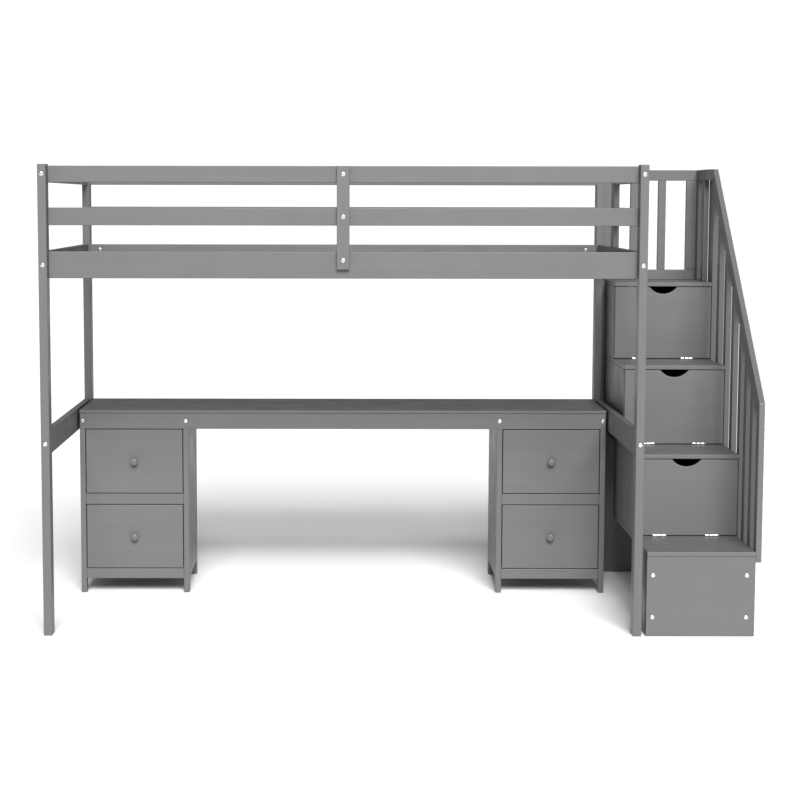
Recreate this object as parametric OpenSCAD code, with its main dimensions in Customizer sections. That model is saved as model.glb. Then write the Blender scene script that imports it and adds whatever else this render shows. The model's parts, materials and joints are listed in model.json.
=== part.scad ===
// Loft bed with a desk, two drawer cabinets and a storage staircase.
// Origin: centre of the overall box on the floor. +X towards the stairs, -Y front, +Z up.

/* [Bed frame] */
// Length of the bed over its corner posts
bed_l = 1985; // [1700:1:2400]
// Depth of the bed over its corner posts
bed_w = 1107; // [950:1:1350]
// Height of the corner posts
bed_h = 1557; // [1500:1:1800]
// Post size along the bed
post_t = 28; // [26:1:34]
// Post size across the bed
post_d = 57; // [50:1:70]
// Thickness of the long rails
rail_t = 20; // [16:1:24]
// Thickness of the short end rails
end_rail_t = 22; // [18:1:24]
// Distance from the top of a post down to the top rail
top_rail_drop = 5; // [0:1:20]
// Height of the top rails
top_rail_h = 54; // [45:1:65]
// Floor to the underside of the middle rails
mid_rail_z = 1358; // [1330:1:1390]
// Height of the middle rails
mid_rail_h = 58; // [45:1:70]
// Floor to the underside of the mattress rails
bed_rail_z = 1185; // [1150:1:1200]
// Height of the mattress rails
bed_rail_h = 88; // [80:1:110]
// Width of the upright that ties the long rails at mid length
support_w = 42; // [36:1:60]
// How far that upright stops above the underside of the mattress rail
support_rise = 30; // [10:1:40]
// Distance from the front of the bed to the entry post
entry_y = 650; // [500:1:700]
// Width of the entry post
entry_post_w = 57; // [45:1:70]
// Height of the cleats that carry the slats
cleat_h = 25; // [20:1:35]
// Depth of the cleats
cleat_t = 20; // [16:1:24]
// Number of mattress slats
slat_n = 14; // [10:1:16]
// Width of a mattress slat
slat_w = 68; // [50:1:80]
// Thickness of a mattress slat
slat_t = 12; // [10:1:18]

/* [Desk] */
// Floor to the top of the desk
desk_h = 677; // [640:1:760]
// Thickness of the desk top
desk_t = 10; // [9:1:20]
// Distance from the front of the bed to the desk's front edge
desk_y = 690; // [600:1:720]
// Gap between the desk top and the back of the bed
desk_back_gap = 5; // [2:1:20]
// Desk top's overhang past its apron
desk_nose = 4; // [2:1:10]
// Height of the apron
apron_h = 59; // [50:1:70]
// Thickness of the apron
apron_t = 15; // [12:1:20]
// Height of the end rails at desk level
desk_rail_h = 82; // [70:1:90]
// How far those end rails stand above the desk top
desk_rail_lip = 5; // [2:1:20]

/* [Cabinets and drawers] */
// Width of a drawer cabinet
cab_w = 398; // [330:1:480]
// Depth of a drawer cabinet
cab_d = 380; // [330:1:390]
// Cabinet leg size along the bed
leg_t = 20; // [18:1:30]
// Cabinet leg size across the bed
leg_d = 38; // [30:1:45]
// Thickness of the cabinet side panels
cab_panel_t = 12; // [9:1:16]
// Thickness of the cabinet back
cab_back_t = 6; // [4:1:9]
// Floor to the underside of the cabinet's bottom rail
cab_bottom_z = 53; // [40:1:80]
// Height of the cabinet's bottom rail
cab_bottom_h = 37; // [30:1:45]
// Height of the rail between the drawers
cab_mid_h = 39; // [30:1:45]
// Thickness of the cabinet's cross rails
cab_rail_t = 16; // [14:1:20]
// Gap round a drawer front
drawer_gap = 2.5; // [2:0.5:4]
// Thickness of a drawer front
front_t = 15; // [12:1:18]
// Thickness of the drawer box boards
box_t = 10; // [9:1:14]
// Side clearance between a drawer box and the legs
box_side_gap = 4; // [2:1:8]
// Depth of a drawer box behind its front
box_d = 325; // [250:1:330]
// Height of a drawer box
box_h = 170; // [120:1:180]
// Knob diameter
knob_d = 28; // [22:1:34]
// How far a knob stands out
knob_l = 24; // [18:1:30]

/* [Staircase] */
// Gap between the bed and the staircase
stair_gap = 15; // [10:1:30]
// Width of the staircase
stair_w = 360; // [320:1:440]
// Height of one step
rise = 285; // [270:1:300]
// Depth of the first step
first_run = 299; // [250:1:340]
// Depth of each later step
run = 268; // [230:1:275]
// Thickness of the staircase boards
board_t = 15; // [12:1:18]
// Tread overhang in front of a door
nose = 3; // [2:1:8]
// Depth of the lowest storage box
low_box_d = 491; // [400:1:520]
// Gap round a door
door_gap = 2.5; // [2:0.5:4]
// Width of the finger cut in a door
cut_w = 100; // [80:1:120]
// Depth of the finger cut
cut_h = 25; // [20:1:30]
// Length of a door hinge
hinge_l = 46; // [40:1:60]
// Radius of the hinge knuckle
knuckle_r = 3.5; // [3:0.1:4.5]
// Radius of the hinge pin
pin_r = 1.5; // [1.2:0.1:1.8]
// Distance of each hinge from the middle of the door
hinge_offset = 91; // [60:1:110]

/* [Stair guard] */
// Thickness of the guard boards
guard_t = 19; // [14:1:22]
// Width of a guard slat
guard_slat_w = 43; // [35:1:55]
// Width of the upright at the top of the slope
guard_post_w = 88; // [60:1:100]
// Number of sloping-guard uprights beside each of the first three steps
guard_n = [3, 2, 2];
// Distance from a riser to the guard upright that stands at it
guard_y = 5; // [2:1:30]
// How far the guard reaches below a tread's top
guard_lap = 36; // [30:1:60]
// Slope of the handrail, rise over run
guard_slope = 0.909; // [0.85:0.01:1.1]
// Distance from the front of the bed to the top of the slope
slope_y = 861; // [780:1:880]
// Height of the level handrail and of the landing guard's top rail
hand_h = 40; // [35:1:55]
// Height of the landing guard's bottom rail
landing_rail_h = 38; // [30:1:50]
// Thickness of the landing guard's rear boards
landing_t = 22; // [16:1:28]
// Width of the landing guard's right post
landing_post_w = 56; // [40:1:70]
// Width of the landing guard's left post, which stands against the bed
landing_left_w = 38; // [30:1:50]
// Width of the landing guard's slats
landing_slat_w = 29; // [24:1:35]
// Distance between the landing guard's slats
landing_pitch = 106; // [80:1:120]
// Length of the taper at the front end of the landing's side rail
landing_taper = 45; // [20:1:60]

/* [Hardware] */
// Radius of a bolt head
head_r = 7; // [5:0.5:8]
// How far a bolt head stands out
head_h = 2; // [1.5:0.5:3]
// Radius of a bolt shank
shank_r = 3; // [2.5:0.5:3.5]
// Clearance round a bolt shank
shank_gap = 0.3; // [0.2:0.1:0.5]
// Length of the screws in the rear mattress rail
rail_screw_l = 15; // [10:1:16]
// Distance of those screws from the ends of the bed
rail_bolt_in = 66; // [50:1:90]
// Distance of those screws below the top of the rail
rail_bolt_drop = 20; // [12:1:30]
// Length of a post bolt's shank in the rail behind
bolt_grip = 25; // [15:1:30]
// Length of the other bolts' shanks in the board behind
short_grip = 12; // [8:1:15]

/* [Hidden] */
$fn = 48;

paint = [0.45, 0.46, 0.46];
steel = [0.8, 0.8, 0.8];
// Joint line between boards that make up one piece
glue = 0.2;
eps = 1;

// The overall box and the lines that everything is placed from
overall_l = bed_l + stair_gap + stair_w + glue + guard_t;
x_left = -overall_l / 2;
x_right = x_left + bed_l;
y_front = -bed_w / 2;
y_rear = bed_w / 2;

// Bed frame
top_rail_z = bed_h - top_rail_drop - top_rail_h;
rail_l = bed_l - 2 * post_t;
end_rail_l = bed_w - 2 * post_d;
front_rail_y = y_front + post_d - rail_t;
rear_rail_y = y_rear - post_d;
bed_x = x_left + post_t;
support_x = x_left + bed_l / 2 - support_w / 2;
support_z = bed_rail_z + support_rise;
support_board_t = 17;
support_bolt_rise = 30;
slat_z = bed_rail_z + cleat_h;
slat_margin = 30;
slat_pitch = (rail_l - 2 * slat_margin - slat_w) / (slat_n - 1);
slat_end_gap = 2;
entry_rail_l = entry_y - post_d;

// Desk and cabinets
desk_side_gap = 2;
desk_x = x_left + post_t + desk_side_gap;
desk_l = bed_l - 2 * (post_t + desk_side_gap);
desk_y0 = y_front + desk_y;
desk_d = bed_w - desk_y - desk_back_gap;
desk_rail_z = desk_h + desk_rail_lip - desk_rail_h;
cab_y = desk_y0 + desk_nose;
cab_h = desk_h - desk_t;
apron_z = cab_h - apron_h;
cab_left_x = desk_x;
cab_right_x = desk_x + desk_l - cab_w;
cab_inner_w = cab_w - 2 * leg_t;
cab_bottom_top = cab_bottom_z + cab_bottom_h;
drawer_zone = (apron_z - cab_bottom_top - cab_mid_h) / 2;
cab_mid_z = cab_bottom_top + drawer_zone;
front_w = cab_inner_w - 2 * drawer_gap;
front_h = drawer_zone - 2 * drawer_gap;
drawer_low_z = cab_bottom_top + drawer_gap;
drawer_high_z = cab_mid_z + cab_mid_h + drawer_gap;
box_w = cab_inner_w - 2 * box_side_gap;
box_lift = 12;
box_bottom_t = 5;
runner_h = 15;
runner_gap = 0.5;
// Outline of a knob, each point a share of its diameter and of its length
knob_profile = [
    [0, 0], [0.38, 0], [0.38, 0.08], [0.26, 0.17], [0.26, 0.5],
    [0.46, 0.625], [0.5, 0.75], [0.46, 0.875], [0.3, 0.975], [0, 1]
];

// Staircase
stair_x = x_right + stair_gap;
stair_in_w = stair_w - 2 * board_t;
riser_y = [0, first_run, first_run + run, first_run + 2 * run];
stair_back_y = y_rear - board_t;
box_end_y = [0, y_front + first_run + low_box_d, stair_back_y, stair_back_y];
door_w = stair_w - 2 * door_gap;
door_h = rise - board_t - 2 * door_gap;
door_x = stair_x + door_gap;
door_back = board_t + glue;
door_mid_x = stair_x + stair_w / 2;
cut_r = (cut_w * cut_w / 4 + cut_h * cut_h) / (2 * cut_h);
leaf_t = 1;
leaf_d = 12;
knuckle_gap = 0.3;
pin_gap = 0.05;
axis_dy = -(knuckle_r + knuckle_gap);
axis_dz = knuckle_r + knuckle_gap;
knuckle_l = hinge_l / 3;
catch_w = 18;
catch_h = 6;
catch_in = 51;
catch_gap = 1;

// Guard
guard_x = stair_x + stair_w + glue;
// Uprights of the sloping guard, each [distance from the front, tread that it reaches down to, width]
guard_last_y = riser_y[3] + guard_y;
guard_uprights = concat([[guard_y, 1, guard_slat_w]], [for (k = [0:2], i = [1:guard_n[k]])
    [riser_y[k] + guard_y + i * (riser_y[k + 1] - riser_y[k]) / guard_n[k], k + 1,
        k == 2 && i == guard_n[2] ? guard_post_w : guard_slat_w]]);
guard_end = guard_last_y + guard_post_w;
hand_perp = 55;
slope_drop = hand_perp * sqrt(1 + guard_slope * guard_slope);
// Distance at which the handrail's underside turns level
under_y = slope_y + (slope_drop - hand_h) / guard_slope;
landing_z = 4 * rise;
landing_y = y_rear - landing_t;
landing_x = x_right + glue;
landing_w = stair_gap + stair_w - glue;
landing_side_x = stair_x + stair_w - guard_t;
landing_under = bed_h - hand_h;

// Bolts, each [x, z, y of the face, direction, depth of the first board, depth in the board behind]
post_bolt_z = [top_rail_z + top_rail_h / 2, bed_rail_z + bed_rail_h / 2, desk_rail_z + desk_rail_h / 2];
post_bolt_x = [x_left + post_t / 2, x_right - post_t / 2];
// The rear right post has no bolt at the top, where the entry is open
post_bolts = [for (x = post_bolt_x, z = post_bolt_z, s = [1, -1])
    if (s > 0 || x < 0 || z < mid_rail_z) [x, z, s > 0 ? y_front : y_rear, s, post_d, bolt_grip]];
support_bolt_z = [top_rail_z + top_rail_h / 2, mid_rail_z + mid_rail_h / 2, support_z + support_bolt_rise];
support_y = [front_rail_y - support_board_t, rear_rail_y + rail_t + support_board_t];
support_bolts = [for (z = support_bolt_z, s = [0, 1])
    [support_x + support_w / 2, z, support_y[s], 1 - 2 * s, support_board_t, short_grip]];
cab_bolt_x = [for (x = [cab_left_x, cab_right_x], e = [leg_t / 2, cab_w - leg_t / 2]) x + e];
desk_bolts = [for (x = cab_bolt_x) [x, apron_z + apron_h / 2, cab_y, 1, apron_t, short_grip]];
// Screws in the inner face of the rear mattress rail
rail_bolt_x = [x_left + rail_bolt_in, x_right - rail_bolt_in];
rail_bolts = [for (x = rail_bolt_x)
    [x, bed_rail_z + bed_rail_h - rail_bolt_drop, rear_rail_y, 1, rail_screw_l, 0]];
step_bolt_in = [21, 28];
step_bolt_z = [65, 206];
step_bolt_x = [stair_x + step_bolt_in[0], stair_x + stair_w - step_bolt_in[1]];
step_bolts = [for (x = step_bolt_x, z = step_bolt_z) [x, z, y_front + nose, 1, board_t, 0]];

module board(x, y, z, sx, sy, sz) {
    translate([x, y, z])
        cube([sx, sy, sz]);
}

module rod(b, r, start, length) {
    translate([b[0], b[2] + b[3] * start, b[1]])
        rotate([-90 * b[3], 0, 0])
            cylinder(r = r, h = length);
}

module holes(list) {
    for (b = list)
        rod(b, shank_r + shank_gap, -eps, b[4] + b[5] + 2 * eps);
}

module bolt(b) {
    rod(b, head_r, -head_h, head_h);
    rod(b, shank_r, -head_h / 2, head_h / 2 + b[4] + b[5]);
}

module post(x, y) {
    difference() {
        board(x, y, 0, post_t, post_d, bed_h);
        holes(post_bolts);
    }
}

module long_rail(y, z, h) {
    difference() {
        board(bed_x, y, z, rail_l, rail_t, h);
        holes(support_bolts);
        holes(rail_bolts);
    }
}

module end_rail(x, z, h) {
    difference() {
        board(x, y_front + post_d, z, end_rail_t, end_rail_l, h);
        holes(post_bolts);
    }
}

module rail_support(y) {
    difference() {
        board(support_x, y, support_z, support_w, support_board_t, top_rail_z + top_rail_h - support_z);
        holes(support_bolts);
    }
}

// Side of a cabinet at its outer face x; inward is 1 when the cabinet lies towards +X
module cabinet_side(x, inward) {
    leg_x = inward > 0 ? x : x - leg_t;
    panel_x = inward > 0 ? x : x - cab_panel_t;
    difference() {
        board(leg_x, cab_y, 0, leg_t, leg_d, cab_h);
        board(leg_x - eps, cab_y - eps, apron_z, leg_t + 2 * eps, apron_t + eps, apron_h + eps);
        holes(desk_bolts);
    }
    board(leg_x, cab_y + cab_d - leg_d, 0, leg_t, leg_d, cab_h);
    board(panel_x, cab_y + leg_d + glue, cab_bottom_z, cab_panel_t,
        cab_d - 2 * leg_d - 2 * glue, cab_h - cab_bottom_z);
}

module cabinet_back(x) {
    board(x + leg_t, cab_y + cab_d - cab_back_t, cab_bottom_z, cab_inner_w, cab_back_t,
        cab_h - cab_bottom_z);
}

module cabinet_rails(x) {
    for (r = [[cab_bottom_z, cab_bottom_h], [cab_mid_z, cab_mid_h]])
        board(x + leg_t, cab_y, r[0], cab_inner_w, cab_rail_t, r[1]);
}

module runner_pair(x, z) {
    runner_w = (cab_w - box_w) / 2 - cab_panel_t + box_t;
    for (side = [x + cab_panel_t, x + cab_w - cab_panel_t - runner_w])
        board(side, cab_y + leg_d, z + box_lift - runner_h - runner_gap, runner_w,
            cab_d - 2 * leg_d, runner_h);
}

module drawer_front(x, z) {
    board(x + leg_t + drawer_gap, cab_y, z, front_w, front_t, front_h);
}

module drawer_box(x, z) {
    bx = x + (cab_w - box_w) / 2;
    by = cab_y + front_t;
    bz = z + box_lift;
    for (side = [bx, bx + box_w - box_t])
        board(side, by, bz, box_t, box_d, box_h);
    board(bx + box_t + glue, by + box_d - box_t, bz, box_w - 2 * box_t - 2 * glue, box_t, box_h);
    board(bx + box_t + glue, by, bz, box_w - 2 * box_t - 2 * glue, box_d - box_t - glue, box_bottom_t);
}

module drawer_knob(x, z) {
    translate([x + cab_w / 2, cab_y, z + front_h / 2])
        rotate([90, 0, 0])
            rotate_extrude()
                polygon([for (p = knob_profile) [p[0] * knob_d, p[1] * knob_l]]);
}

module tread(k) {
    top = k * rise;
    front = y_front + riser_y[k - 1] - (k > 1 ? nose : 0);
    back = k == 1 ? box_end_y[1] : stair_back_y;
    board(stair_x, front, top - board_t, stair_w, back - front, board_t);
}

module stair_sides(x) {
    board(x, y_front + nose + board_t + glue, 0, board_t, first_run - nose - board_t, rise - board_t);
    for (k = [1:3])
        board(x, y_front + riser_y[k] + door_back, k * rise, board_t,
            box_end_y[k] - y_front - riser_y[k] - door_back, rise - board_t);
}

module door(k) {
    zb = k * rise + door_gap;
    zt = zb + door_h;
    yf = y_front + riser_y[k];
    difference() {
        board(door_x, yf, zb, door_w, board_t, door_h);
        translate([door_mid_x, yf - eps, zt - cut_h + cut_r])
            rotate([-90, 0, 0])
                cylinder(r = cut_r, h = board_t + 2 * eps, $fn = 96);
    }
}

module hinge_place(k) {
    for (side = [-1, 1])
        translate([door_mid_x + side * hinge_offset, y_front + riser_y[k], k * rise])
            children();
}

module leaves_moving(k) {
    hinge_place(k) {
        difference() {
            union() {
                translate([-knuckle_l / 2 + knuckle_gap, axis_dy, axis_dz])
                    rotate([0, 90, 0])
                        cylinder(r = knuckle_r, h = knuckle_l - 2 * knuckle_gap);
                board(-knuckle_l / 2 + knuckle_gap, axis_dy, door_gap - leaf_t,
                    knuckle_l - 2 * knuckle_gap, leaf_d - axis_dy, leaf_t);
            }
            translate([-knuckle_l, axis_dy, axis_dz])
                rotate([0, 90, 0])
                    cylinder(r = pin_r + pin_gap, h = 2 * knuckle_l);
        }
    }
}

module leaves_fixed() {
    for (k = [1:3])
        hinge_place(k) {
            for (x = [-hinge_l / 2, knuckle_l / 2])
                translate([x, axis_dy, axis_dz])
                    rotate([0, 90, 0])
                        cylinder(r = knuckle_r, h = knuckle_l);
            translate([-hinge_l / 2, axis_dy, axis_dz])
                rotate([0, 90, 0])
                    cylinder(r = pin_r, h = hinge_l);
            for (x = [-hinge_l / 2, knuckle_l / 2])
                board(x, axis_dy, 0, knuckle_l, leaf_d - axis_dy, leaf_t);
        }
}

// Heights of the handrail's top edge and underside at distance y from the front of the bed
function hand_top(y) = min(bed_h, bed_h - (slope_y - y) * guard_slope);
function hand_under(y) = min(bed_h - hand_h, bed_h - (slope_y - y) * guard_slope - slope_drop);
// Points on the underside between distances y0 and y1, from the rear to the front
function under_points(y0, y1, gap) = [for (y = [y1, under_y, y0])
    if (y == y1 || y == y0 || (y > y0 && y < y1)) [y_front + y, hand_under(y) - gap]];

module guard_board(points) {
    translate([guard_x, 0, 0])
        rotate([90, 0, 90])
            linear_extrude(guard_t)
                polygon(points);
}

module handrail() {
    color(paint)
        guard_board(concat([for (y = [guard_y, slope_y, guard_end]) [y_front + y, hand_top(y)]],
            under_points(guard_y, guard_end, 0)));
}

// One upright, from its [distance from the front, tread, width]
module guard_upright(u) {
    base = u[1] * rise - guard_lap;
    y0 = y_front + u[0];
    guard_board(concat([[y0, base], [y0 + u[2], base]], under_points(u[0], u[0] + u[2], glue)));
}

// Bed frame
module post_front_left() { color(paint) post(x_left, y_front); }
module post_rear_left() { color(paint) post(x_left, y_rear - post_d); }
module post_front_right() { color(paint) post(x_right - post_t, y_front); }
module post_rear_right() { color(paint) post(x_right - post_t, y_rear - post_d); }
module rail_front_top() { color(paint) long_rail(front_rail_y, top_rail_z, top_rail_h); }
module rail_front_middle() { color(paint) long_rail(front_rail_y, mid_rail_z, mid_rail_h); }
module rail_front_bed() { color(paint) long_rail(front_rail_y, bed_rail_z, bed_rail_h); }
module rail_rear_top() { color(paint) long_rail(rear_rail_y, top_rail_z, top_rail_h); }
module rail_rear_middle() { color(paint) long_rail(rear_rail_y, mid_rail_z, mid_rail_h); }
module rail_rear_bed() { color(paint) long_rail(rear_rail_y, bed_rail_z, bed_rail_h); }

module rail_supports() {
    color(paint) {
        rail_support(front_rail_y - support_board_t);
        rail_support(rear_rail_y + rail_t);
    }
}

module end_rails_left() {
    color(paint) {
        end_rail(x_left, top_rail_z, top_rail_h);
        end_rail(x_left, bed_rail_z, bed_rail_h);
        end_rail(x_left, desk_rail_z, desk_rail_h);
    }
}

module end_rails_right() {
    color(paint) {
        end_rail(x_right - end_rail_t, bed_rail_z, bed_rail_h);
        end_rail(x_right - end_rail_t, desk_rail_z, desk_rail_h);
    }
}

module entry_rails() {
    color(paint)
        difference() {
            for (r = [[top_rail_z, top_rail_h], [mid_rail_z, mid_rail_h]])
                board(x_right - end_rail_t, y_front + post_d, r[0], end_rail_t, entry_rail_l, r[1]);
            holes(post_bolts);
        }
}

module entry_post() {
    base = bed_rail_z + bed_rail_h;
    color(paint)
        board(x_right - end_rail_t, y_front + entry_y, base, end_rail_t, entry_post_w,
            top_rail_z + top_rail_h - base);
}

module slat_cleats() {
    color(paint)
        for (y = [front_rail_y + rail_t, rear_rail_y - cleat_t])
            board(bed_x, y, bed_rail_z, rail_l, cleat_t, cleat_h);
}

module mattress_slats() {
    y0 = front_rail_y + rail_t + slat_end_gap;
    color(paint)
        for (i = [0:slat_n - 1])
            board(bed_x + slat_margin + i * slat_pitch, y0, slat_z, slat_w,
                rear_rail_y - slat_end_gap - y0, slat_t);
}

// Desk and cabinets
module desk_top() { color(paint) board(desk_x, desk_y0, cab_h, desk_l, desk_d, desk_t); }

module desk_apron() {
    color(paint)
        difference() {
            board(desk_x, cab_y, apron_z, desk_l, apron_t, apron_h);
            holes(desk_bolts);
        }
}

module cabinet_left_outer_side() { color(paint) cabinet_side(cab_left_x, 1); }
module cabinet_left_inner_side() { color(paint) cabinet_side(cab_left_x + cab_w, -1); }
module cabinet_left_back() { color(paint) cabinet_back(cab_left_x); }
module cabinet_left_rails() { color(paint) cabinet_rails(cab_left_x); }
module cabinet_right_outer_side() { color(paint) cabinet_side(cab_right_x + cab_w, -1); }
module cabinet_right_inner_side() { color(paint) cabinet_side(cab_right_x, 1); }
module cabinet_right_back() { color(paint) cabinet_back(cab_right_x); }
module cabinet_right_rails() { color(paint) cabinet_rails(cab_right_x); }

module drawer_runners() {
    color(paint)
        for (x = [cab_left_x, cab_right_x], z = [drawer_low_z, drawer_high_z])
            runner_pair(x, z);
}

module drawer_1_front() { color(paint) drawer_front(cab_left_x, drawer_high_z); }
module drawer_1_box() { color(paint) drawer_box(cab_left_x, drawer_high_z); }
module drawer_1_knob() { color(paint) drawer_knob(cab_left_x, drawer_high_z); }
module drawer_2_front() { color(paint) drawer_front(cab_left_x, drawer_low_z); }
module drawer_2_box() { color(paint) drawer_box(cab_left_x, drawer_low_z); }
module drawer_2_knob() { color(paint) drawer_knob(cab_left_x, drawer_low_z); }
module drawer_3_front() { color(paint) drawer_front(cab_right_x, drawer_high_z); }
module drawer_3_box() { color(paint) drawer_box(cab_right_x, drawer_high_z); }
module drawer_3_knob() { color(paint) drawer_knob(cab_right_x, drawer_high_z); }
module drawer_4_front() { color(paint) drawer_front(cab_right_x, drawer_low_z); }
module drawer_4_box() { color(paint) drawer_box(cab_right_x, drawer_low_z); }
module drawer_4_knob() { color(paint) drawer_knob(cab_right_x, drawer_low_z); }

// Staircase
module tread_1() { color(paint) tread(1); }
module tread_2() { color(paint) tread(2); }
module tread_3() { color(paint) tread(3); }
module tread_4() { color(paint) tread(4); }

module step_1_front() {
    color(paint)
        difference() {
            board(stair_x, y_front + nose, 0, stair_w, board_t, rise - board_t);
            holes(step_bolts);
        }
}

module stair_sides_left() { color(paint) stair_sides(stair_x); }
module stair_sides_right() { color(paint) stair_sides(stair_x + stair_w - board_t); }

module stair_backs() {
    color(paint) {
        board(landing_x, stair_back_y, 0, landing_w, board_t, landing_z);
        board(stair_x + board_t, box_end_y[1] - board_t, rise, stair_in_w, board_t, rise - board_t);
    }
}

module door_2() { color(paint) door(1); }
module door_3() { color(paint) door(2); }
module door_4() { color(paint) door(3); }
module door_2_leaves() { color(steel) leaves_moving(1); }
module door_3_leaves() { color(steel) leaves_moving(2); }
module door_4_leaves() { color(steel) leaves_moving(3); }
module hinge_leaves_fixed() { color(steel) leaves_fixed(); }

module door_catches() {
    color(steel)
        for (k = [1:3])
            board(door_x + catch_in, y_front + riser_y[k] + board_t + catch_gap,
                (k + 1) * rise - board_t - catch_h, catch_w, catch_w, catch_h);
}

// Guard
module guard_slats() {
    color(paint)
        for (u = guard_uprights)
            guard_upright(u);
}

module landing_guard() {
    post_z = landing_z + landing_rail_h + glue;
    side_y0 = y_front + guard_last_y;
    side_y1 = landing_y - glue;
    color(paint) {
        board(landing_x, landing_y, landing_z, landing_w, landing_t, landing_rail_h);
        board(landing_x, landing_y, landing_under, landing_w, landing_t, hand_h);
        for (p = [[0, landing_left_w], [landing_pitch, landing_slat_w],
                [2 * landing_pitch, landing_slat_w], [landing_w - landing_post_w, landing_post_w]])
            board(landing_x + p[0], landing_y, post_z, p[1], landing_t,
                landing_under - glue - post_z);
        translate([landing_side_x, 0, landing_under])
            linear_extrude(hand_h)
                polygon([[0, side_y0 + landing_taper], [guard_t, side_y0],
                    [guard_t, side_y1], [0, side_y1]]);
        for (y = [y_front + guard_end, side_y1 - guard_slat_w])
            board(landing_side_x, y, landing_z, guard_t, guard_slat_w, landing_under - glue - landing_z);
    }
}

module bolts() {
    color(steel)
        for (b = concat(post_bolts, support_bolts, rail_bolts, desk_bolts, step_bolts))
            bolt(b);
}

post_front_left();
post_rear_left();
post_front_right();
post_rear_right();
rail_front_top();
rail_front_middle();
rail_front_bed();
rail_rear_top();
rail_rear_middle();
rail_rear_bed();
rail_supports();
end_rails_left();
end_rails_right();
entry_rails();
entry_post();
slat_cleats();
mattress_slats();
desk_top();
desk_apron();
cabinet_left_outer_side();
cabinet_left_inner_side();
cabinet_left_back();
cabinet_left_rails();
cabinet_right_outer_side();
cabinet_right_inner_side();
cabinet_right_back();
cabinet_right_rails();
drawer_runners();
drawer_1_front();
drawer_1_box();
drawer_1_knob();
drawer_2_front();
drawer_2_box();
drawer_2_knob();
drawer_3_front();
drawer_3_box();
drawer_3_knob();
drawer_4_front();
drawer_4_box();
drawer_4_knob();
tread_1();
tread_2();
tread_3();
tread_4();
step_1_front();
stair_sides_left();
stair_sides_right();
stair_backs();
door_2();
door_3();
door_4();
door_2_leaves();
door_3_leaves();
door_4_leaves();
hinge_leaves_fixed();
door_catches();
handrail();
guard_slats();
landing_guard();
bolts();
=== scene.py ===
"""Looks of the loft bed with desk: painted boards, bright hardware, turned knobs, studio and camera."""

import json
import math

import bpy
from mathutils import Matrix, Vector


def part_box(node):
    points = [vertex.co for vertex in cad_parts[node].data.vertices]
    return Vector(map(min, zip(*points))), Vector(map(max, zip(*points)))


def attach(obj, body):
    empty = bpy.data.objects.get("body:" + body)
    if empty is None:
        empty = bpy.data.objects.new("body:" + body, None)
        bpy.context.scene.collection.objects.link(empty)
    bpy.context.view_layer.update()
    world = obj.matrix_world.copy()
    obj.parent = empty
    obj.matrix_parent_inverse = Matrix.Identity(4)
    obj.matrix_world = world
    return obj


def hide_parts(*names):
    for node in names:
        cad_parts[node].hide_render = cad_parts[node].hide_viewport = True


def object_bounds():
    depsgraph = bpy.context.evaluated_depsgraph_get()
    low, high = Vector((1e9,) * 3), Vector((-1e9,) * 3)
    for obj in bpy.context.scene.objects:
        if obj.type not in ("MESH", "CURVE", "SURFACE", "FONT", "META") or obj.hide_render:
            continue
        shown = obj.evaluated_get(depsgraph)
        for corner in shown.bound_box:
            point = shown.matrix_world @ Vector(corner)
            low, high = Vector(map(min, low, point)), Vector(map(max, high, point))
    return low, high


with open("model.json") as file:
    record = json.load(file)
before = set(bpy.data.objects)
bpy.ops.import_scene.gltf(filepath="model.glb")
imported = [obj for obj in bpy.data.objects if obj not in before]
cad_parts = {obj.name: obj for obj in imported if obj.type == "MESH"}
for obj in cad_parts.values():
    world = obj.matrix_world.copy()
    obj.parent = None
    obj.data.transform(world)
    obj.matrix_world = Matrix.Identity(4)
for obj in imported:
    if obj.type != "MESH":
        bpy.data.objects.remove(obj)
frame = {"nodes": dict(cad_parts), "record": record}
cad_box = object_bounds()
record = frame["record"]
slot_of = {part["node"]: part["material_slot"] for part in record["subparts"]}
body_of = {node: body for body, nodes in record["behaviour"]["bodies"].items() for node in nodes}
centre = (Vector(cad_box[0]) + Vector(cad_box[1])) / 2

# Photographer's camera, in metres and degrees
CAMERA_PLACE = (-0.1987, -6.6553, 1.4392)
CAMERA_DOWN = 5.846
CAMERA_ROLL = 0.0835
CAMERA_LENS = 84.21
CAMERA_SHIFT = (0.072, -0.0096)

# Paint and metal. A factor ramps between two values of a noise, from low to high
PAINT_MID = (0.104, 0.105, 0.105, 1)
PAINT_DARK = (0.100, 0.101, 0.101, 1)
# Lighter colour on the rounded edges: partly wear, partly a painted highlight
PAINT_EDGE_WEAR_AND_HIGHLIGHT = (0.165, 0.167, 0.167, 1)
STEEL = (0.86, 0.86, 0.85, 1)
STEEL_DULL = (0.72, 0.73, 0.74, 1)
PAINT_IOR = 1.48
PAINT_ROUGHNESS = (0.40, 0.54)
STEEL_ROUGHNESS = (0.18, 0.36)
STREAK_SHADE = (0.955, 1.03)
# How much of the lighter edge colour (wear and painted highlight) shows, set by the grain
EDGE_WEAR_AND_HIGHLIGHT_SHARE = (0.25, 0.8)

# Noise scales, per metre: one number, or one along the board and one across it
CLOUD_SCALE = 2.6
GRAIN_SCALE = (1.2, 26)
BRUSH_SCALE = (7, 420)
PEEL_SCALE = 650
SHINE_SCALE = 9
SCRATCH_SCALE = (60, 2200)
STEEL_CLOUD_SCALE = 140
FLOOR_SCALE = 0.6

# Bumps, each a strength and a height in metres
GRAIN_BUMP = (0.22, 0.0006)
BRUSH_BUMP = (0.10, 0.00012)
PEEL_BUMP = (0.07, 0.0001)
SCRATCH_BUMP = (0.12, 0.00008)

# Cosines of the turn at which an edge starts to show its lighter colour, wear mixed with a painted
# highlight, and shows it fully
EDGE_WEAR_AND_HIGHLIGHT_TURN = (0.995, 0.8)
BEVEL_SAMPLES = 4

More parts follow.
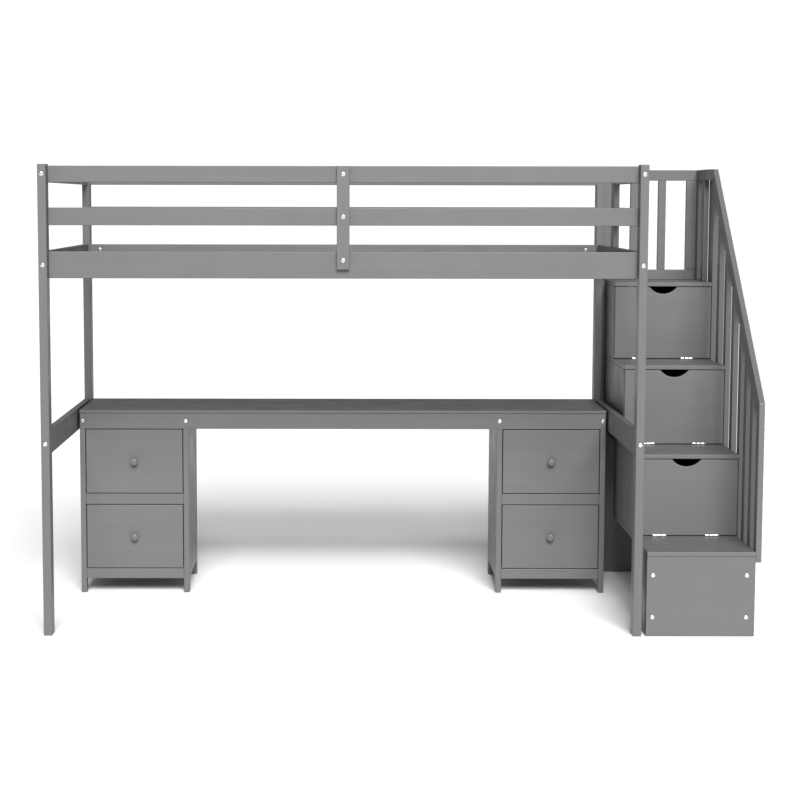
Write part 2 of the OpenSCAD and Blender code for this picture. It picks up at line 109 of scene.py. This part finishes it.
# Studio light
ROOM_LIGHT = 0.3
BACKDROP = 1.1
FLOOR_HALF = 30
FLOOR_COLOUR = (0.93, 0.93, 0.93, 1)
FLOOR_ROUGHNESS = 0.9
FLOOR_SHADE = 0.985
CLIP_END = 100
# Each lamp: name, kind, place in metres, power, and its angle in degrees (sun) or side in metres (area)
LAMPS = [
    ("soft_front", "SUN", (0.5, -5.0, 4.4), 5.0, 30),
    ("softbox", "AREA", (0.3, -4.3, 3.8), 55, 2.4),
]

# Edge rounding of the boards, in metres
ROUND_THICK = 0.0022
ROUND_THIN = 0.0012
ROUND_STEEL = 0.0003
THIN_BOARD = 0.013
ROUND_SEGMENTS = 3
ROUND_ANGLE = math.radians(40)
FLAT_ANGLE = math.radians(1)
WELD_DISTANCE = 0.00001


# ---------------------------------------------------------------- materials
class Nodes:
    """Short way to build a node tree."""

    def __init__(self, name):
        self.material = bpy.data.materials.new(name)
        self.material.use_nodes = True
        self.tree = self.material.node_tree
        self.shader = self.tree.nodes["Principled BSDF"]

    def add(self, kind, inputs=None, **settings):
        node = self.tree.nodes.new(kind)
        for key, value in settings.items():
            setattr(node, key, value)
        for key, value in (inputs or {}).items():
            if isinstance(value, bpy.types.NodeSocket):
                self.tree.links.new(value, node.inputs[key])
            else:
                node.inputs[key].default_value = value
        return node

    def link(self, output, socket):
        self.tree.links.new(output, self.shader.inputs[socket])

    def noise(self, scale, detail, vector, roughness=0.55):
        inputs = {"Scale": scale, "Detail": detail, "Roughness": roughness, "Vector": vector}
        return self.add("ShaderNodeTexNoise", inputs).outputs["Fac"]

    def ramp(self, value, low, high, to_low=0.0, to_high=1.0):
        inputs = {"Value": value, "From Min": low, "From Max": high,
                  "To Min": to_low, "To Max": to_high}
        return self.add("ShaderNodeMapRange", inputs).outputs["Result"]

    def mix(self, factor, a, b, blend="MIX"):
        inputs = {"Factor": factor, "A": a, "B": b}
        node = self.tree.nodes.new("ShaderNodeMix")
        node.data_type = "RGBA"
        node.blend_type = blend
        for key, value in inputs.items():
            socket = next(s for s in node.inputs if s.name == key and s.type in ("RGBA", "VALUE")
                          and (s.type == "RGBA") == (key != "Factor"))
            if isinstance(value, bpy.types.NodeSocket):
                self.tree.links.new(value, socket)
            else:
                socket.default_value = value
        return next(s for s in node.outputs if s.type == "RGBA")

    def bump(self, height, size, normal=None):
        strength, distance = size
        inputs = {"Height": height, "Strength": strength, "Distance": distance}
        if normal is not None:
            inputs["Normal"] = normal
        return self.add("ShaderNodeBump", inputs).outputs["Normal"]


def stretched(nodes, axis, scales):
    """Object coordinates squeezed so that a texture runs along one axis."""
    along, across = scales
    scale = [across] * 3
    scale[axis] = along
    coordinates = nodes.add("ShaderNodeTexCoord").outputs["Object"]
    return nodes.add("ShaderNodeMapping", {"Vector": coordinates, "Scale": scale}).outputs["Vector"]


def edge_mask(nodes, radius):
    """1 where the surface turns at a rounded edge, 0 on flat faces."""
    rounded = nodes.add("ShaderNodeBevel", {"Radius": radius}, samples=BEVEL_SAMPLES).outputs["Normal"]
    flat = nodes.add("ShaderNodeNewGeometry").outputs["True Normal"]
    dot = nodes.add("ShaderNodeVectorMath", {0: rounded, 1: flat}, operation="DOT_PRODUCT")
    return nodes.ramp(dot.outputs["Value"], *EDGE_WEAR_AND_HIGHLIGHT_TURN)


def painted_wood(axis):
    """Satin grey paint, with the grain and brush marks running along the board, and edges painted
    lighter as wear mixed with a painted highlight.
    """
    nodes = Nodes("painted_wood_" + "xyz"[axis])
    plain = nodes.add("ShaderNodeTexCoord").outputs["Object"]
    along = stretched(nodes, axis, GRAIN_SCALE)
    fine = stretched(nodes, axis, BRUSH_SCALE)
    cloud = nodes.noise(CLOUD_SCALE, 3, plain)
    grain = nodes.noise(1.0, 6, along, 0.62)
    brush = nodes.noise(1.0, 2, fine)
    peel = nodes.noise(PEEL_SCALE, 2, plain)
    tone = nodes.mix(nodes.ramp(cloud, 0.32, 0.68), PAINT_DARK, PAINT_MID)
    streak = nodes.ramp(grain, 0.3, 0.72, *STREAK_SHADE)
    combined = nodes.add("ShaderNodeCombineColor", {"Red": streak, "Green": streak, "Blue": streak})
    tone = nodes.mix(1.0, tone, combined.outputs["Color"], "MULTIPLY")
    # Rounded edges painted lighter: partly wear, partly a painted highlight along every edge
    edge_wear_and_highlight = nodes.add("ShaderNodeMath",
                     {0: edge_mask(nodes, ROUND_THICK), 1: nodes.ramp(grain, 0.35, 0.7, *EDGE_WEAR_AND_HIGHLIGHT_SHARE)},
                     operation="MULTIPLY").outputs["Value"]
    nodes.link(nodes.mix(edge_wear_and_highlight, tone, PAINT_EDGE_WEAR_AND_HIGHLIGHT), "Base Color")
    shine = nodes.noise(SHINE_SCALE, 4, plain)
    nodes.link(nodes.ramp(shine, 0.3, 0.7, *PAINT_ROUGHNESS), "Roughness")
    nodes.shader.inputs["IOR"].default_value = PAINT_IOR
    normal = nodes.bump(grain, GRAIN_BUMP)
    normal = nodes.bump(brush, BRUSH_BUMP, normal)
    nodes.link(nodes.bump(peel, PEEL_BUMP, normal), "Normal")
    return nodes.material


def bright_steel():
    """Zinc-plated steel with fine scratches and a slightly uneven shine."""
    nodes = Nodes("bright_steel")
    plain = nodes.add("ShaderNodeTexCoord").outputs["Object"]
    scratch = nodes.noise(1.0, 4, stretched(nodes, 0, SCRATCH_SCALE))
    cloud = nodes.noise(STEEL_CLOUD_SCALE, 3, plain)
    nodes.link(nodes.mix(nodes.ramp(cloud, 0.3, 0.7), STEEL, STEEL_DULL), "Base Color")
    nodes.shader.inputs["Metallic"].default_value = 1.0
    nodes.link(nodes.ramp(scratch, 0.3, 0.7, *STEEL_ROUGHNESS), "Roughness")
    nodes.link(nodes.bump(scratch, SCRATCH_BUMP), "Normal")
    return nodes.material


paints = [painted_wood(axis) for axis in range(3)]
steel = bright_steel()


# ---------------------------------------------------------------- CAD boards
def longest_axis(node):
    low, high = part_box(node)
    sides = [high[i] - low[i] for i in range(3)]
    return sides.index(max(sides))


# The axis that the boards run along, 0 for X, where it isn't left to the node's own longest side
GRAIN_AXIS = {
    "mattress_slats": 1, "rail_supports": 2, "end_rails_left": 1, "end_rails_right": 1,
    "guard_slats": 2, "landing_guard": 2, "stair_sides_left": 2, "stair_sides_right": 2,
    "stair_backs": 2, "step_1_front": 0, "drawer_runners": 1, "entry_post": 2,
    "tread_1": 0, "tread_2": 0, "tread_3": 0, "tread_4": 0,
    "handrail": 1, "cabinet_left_rails": 0, "cabinet_right_rails": 0,
}


def dress(name, obj):
    """Gives a CAD node its material and rounds its edges."""
    is_steel = slot_of[name] == "bright_steel"
    material = steel if is_steel else paints[GRAIN_AXIS.get(name, longest_axis(name))]
    for material_slot in obj.material_slots:
        material_slot.link = "OBJECT"
        material_slot.material = material
    weld = obj.modifiers.new("weld", "WELD")
    weld.merge_threshold = WELD_DISTANCE
    low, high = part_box(name)
    thin = min(high[i] - low[i] for i in range(3)) < THIN_BOARD
    flatten = obj.modifiers.new("flatten", "DECIMATE")
    flatten.decimate_type = "DISSOLVE"
    flatten.angle_limit = FLAT_ANGLE
    bevel = obj.modifiers.new("rounded_edges", "BEVEL")
    bevel.width = ROUND_STEEL if is_steel else ROUND_THIN if thin else ROUND_THICK
    bevel.segments = ROUND_SEGMENTS
    bevel.limit_method = "ANGLE"
    bevel.angle_limit = ROUND_ANGLE
    bevel.use_clamp_overlap = False
    bevel.loop_slide = False
    bevel.harden_normals = True


for node_name, node_object in frame["nodes"].items():
    dress(node_name, node_object)


# ---------------------------------------------------------------- turned and pressed pieces
def ring_mesh(rings, place, turn):
    """Joins rings of points, each a list of (x, y, z), into a closed surface at a place."""
    points = [tuple(place + turn @ Vector(p)) for ring in rings for p in ring]
    count = len(rings[0])
    faces = []
    for r in range(len(rings) - 1):
        for i in range(count):
            j = (i + 1) % count
            faces.append((r * count + i, r * count + j, (r + 1) * count + j, (r + 1) * count + i))
    faces.append(tuple(range(count - 1, -1, -1)))
    last = (len(rings) - 1) * count
    faces.append(tuple(range(last, last + count)))
    return points, faces


def make_object(name, parts, material, body, smooth_angle):
    points = []
    faces = []
    for part_points, part_faces in parts:
        start = len(points)
        points += part_points
        faces += [tuple(start + i for i in face) for face in part_faces]
    mesh = bpy.data.meshes.new(name)
    mesh.from_pydata(points, [], faces)
    mesh.validate()
    mesh.materials.append(material)
    mesh.shade_smooth()
    mesh.set_sharp_from_angle(angle=math.radians(smooth_angle))
    obj = bpy.data.objects.new(name, mesh)
    bpy.context.scene.collection.objects.link(obj)
    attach(obj, body)
    return obj


def circle(radius, height, count):
    step = 2 * math.pi / count
    return [(radius * math.cos(i * step), radius * math.sin(i * step), height) for i in range(count)]


def hexagon(radius, height, count):
    """Points on a hexagon, taken at the same angles as a circle's."""
    points = []
    for i in range(count):
        angle = 2 * math.pi * i / count
        side = (angle % (math.pi / 3)) - math.pi / 6
        reach = radius * math.cos(math.pi / 6) / math.cos(side)
        points.append((reach * math.cos(angle), reach * math.sin(angle), height))
    return points


def islands(obj):
    """The boxes of a mesh's separate solids, from corners rounded to a micrometre."""
    mesh = obj.data
    parent = {}

    def find(key):
        while parent[key] != key:
            parent[key] = parent[parent[key]]
            key = parent[key]
        return key

    keys = [tuple(round(c, 6) for c in obj.matrix_world @ v.co) for v in mesh.vertices]
    for key in keys:
        parent.setdefault(key, key)
    for edge in mesh.edges:
        a, b = (find(keys[i]) for i in edge.vertices)
        parent[a] = b
    groups = {}
    for key in parent:
        groups.setdefault(find(key), []).append(key)
    return [([min(p[i] for p in g) for i in range(3)], [max(p[i] for p in g) for i in range(3)])
            for g in groups.values()]


OUT_OF = {1: Matrix.Rotation(math.pi / 2, 3, "X"), -1: Matrix.Rotation(-math.pi / 2, 3, "X")}
HEAD_POINTS = 36
HEAD_SMOOTH = 35
# Outlines of a bolt head and of its hexagon socket: share of the radius, share of the height
HEAD_OUTLINE = [(0.96, 0.0), (1.0, 0.18), (1.0, 0.5), (0.93, 0.78), (0.80, 0.95), (0.62, 1.0)]
SOCKET_OUTLINE = [(0.51, 0.98), (0.46, 0.85), (0.46, 0.1)]
# A head's rim vertices lie within this share of its radius from the rim
RIM_BAND = 0.05


def bolt_head(place, side, radius, height):
    """Low domed head with a hexagon socket. side is 1 where the head looks along -Y, -1 along +Y."""
    rings = [circle(r * radius, h * height, HEAD_POINTS) for r, h in HEAD_OUTLINE]
    rings += [hexagon(r * radius, h * height, HEAD_POINTS) for r, h in SOCKET_OUTLINE]
    return ring_mesh(rings, place, OUT_OF[side])


def bolts():
    """One head for each bolt of the CAD node, at the end where its head is."""
    obj = frame["nodes"]["bolts"]
    parts = []
    for low, high in islands(obj):
        radius = (high[0] - low[0]) / 2
        middle = Vector(((low[0] + high[0]) / 2, 0, (low[2] + high[2]) / 2))
        wide = [v.co.y for v in obj.data.vertices
                if abs((v.co - middle).xz.length - radius) < radius * RIM_BAND
                and low[1] - ROUND_STEEL < v.co.y < high[1] + ROUND_STEEL]
        near, far = min(wide), max(wide)
        side = 1 if near - low[1] < high[1] - far else -1
        middle.y = far if side > 0 else near
        parts.append(bolt_head(middle, side, radius, far - near))
    heads = make_object("bolt_heads", parts, steel, "frame", HEAD_SMOOTH)
    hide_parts("bolts")


KNOB_POINTS = 64
KNOB_SMOOTH = 40
# Smallest ring of a knob, as a share of its radius
KNOB_CENTRE = 0.02
# Turned outline of a knob: share of its radius, share of its length
KNOB_OUTLINE = [
    (0.0, 0.0), (0.74, 0.0), (0.76, 0.03), (0.76, 0.075), (0.72, 0.105), (0.60, 0.14),
    (0.545, 0.20), (0.525, 0.29), (0.53, 0.38), (0.58, 0.46), (0.70, 0.515), (0.86, 0.56),
    (0.96, 0.62), (1.0, 0.70), (0.985, 0.79), (0.93, 0.865), (0.82, 0.92), (0.66, 0.96),
    (0.46, 0.985), (0.24, 0.998), (0.02, 1.0),
]


def knob(drawer):
    node = drawer + "_knob"
    low, high = (Vector(corner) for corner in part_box(node))
    radius = (high.x - low.x) / 2
    length = high.y - low.y
    place = Vector(((low.x + high.x) / 2, high.y, (low.z + high.z) / 2))
    rings = [circle(max(r, KNOB_CENTRE) * radius, h * length, KNOB_POINTS) for r, h in KNOB_OUTLINE]
    piece = make_object(drawer + "_turned_knob", [ring_mesh(rings, place, OUT_OF[1])], paints[1],
                        body_of[node], KNOB_SMOOTH)
    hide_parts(node)


bolts()
for number in range(1, 5):
    knob(f"drawer_{number}")


# ---------------------------------------------------------------- studio
def plain_material(name, colour, roughness):
    nodes = Nodes(name)
    cloud = nodes.noise(FLOOR_SCALE, 2, nodes.add("ShaderNodeTexCoord").outputs["Object"])
    shade = tuple(c * FLOOR_SHADE for c in colour[:3]) + (1,)
    nodes.link(nodes.mix(cloud, colour, shade), "Base Color")
    nodes.shader.inputs["Roughness"].default_value = roughness
    return nodes.material


def studio():
    corners = [(x * FLOOR_HALF, y * FLOOR_HALF, 0) for x, y in ((-1, -1), (1, -1), (1, 1), (-1, 1))]
    mesh = bpy.data.meshes.new("floor")
    mesh.from_pydata(corners, [], [(0, 1, 2, 3)])
    floor = bpy.data.objects.new("floor", mesh)
    mesh.materials.append(plain_material("pale_floor", FLOOR_COLOUR, FLOOR_ROUGHNESS))
    bpy.context.scene.collection.objects.link(floor)
    world = bpy.data.worlds.new("soft_studio")
    world.use_nodes = True
    tree = world.node_tree
    seen = tree.nodes.new("ShaderNodeLightPath").outputs["Is Camera Ray"]
    strength = tree.nodes.new("ShaderNodeMapRange")
    strength.inputs["To Min"].default_value = ROOM_LIGHT
    strength.inputs["To Max"].default_value = BACKDROP
    tree.links.new(seen, strength.inputs["Value"])
    tree.nodes["Background"].inputs["Color"].default_value = (1, 1, 1, 1)
    tree.links.new(strength.outputs["Result"], tree.nodes["Background"].inputs["Strength"])
    bpy.context.scene.world = world
    bpy.context.scene.view_settings.view_transform = "Standard"


def lamp(name, kind, place, power, size):
    data = bpy.data.lights.new(name, kind)
    data.energy = power
    if kind == "SUN":
        data.angle = math.radians(size)
    else:
        data.shape = "SQUARE"
        data.size = size
    light = bpy.data.objects.new(name, data)
    light.location = place
    light.rotation_euler = (centre - Vector(place)).to_track_quat("-Z", "Y").to_euler()
    bpy.context.scene.collection.objects.link(light)


def camera():
    data = bpy.data.cameras.new("camera")
    data.lens = CAMERA_LENS
    data.shift_x, data.shift_y = CAMERA_SHIFT
    data.clip_end = CLIP_END
    cam = bpy.data.objects.new("camera", data)
    tilt = Matrix.Rotation(math.radians(90 - CAMERA_DOWN), 4, "X")
    roll = Matrix.Rotation(math.radians(CAMERA_ROLL), 4, "Z")
    cam.matrix_world = Matrix.Translation(CAMERA_PLACE) @ tilt @ roll
    bpy.context.scene.collection.objects.link(cam)
    bpy.context.scene.camera = cam


studio()
for lamp_settings in LAMPS:
    lamp(*lamp_settings)
camera()
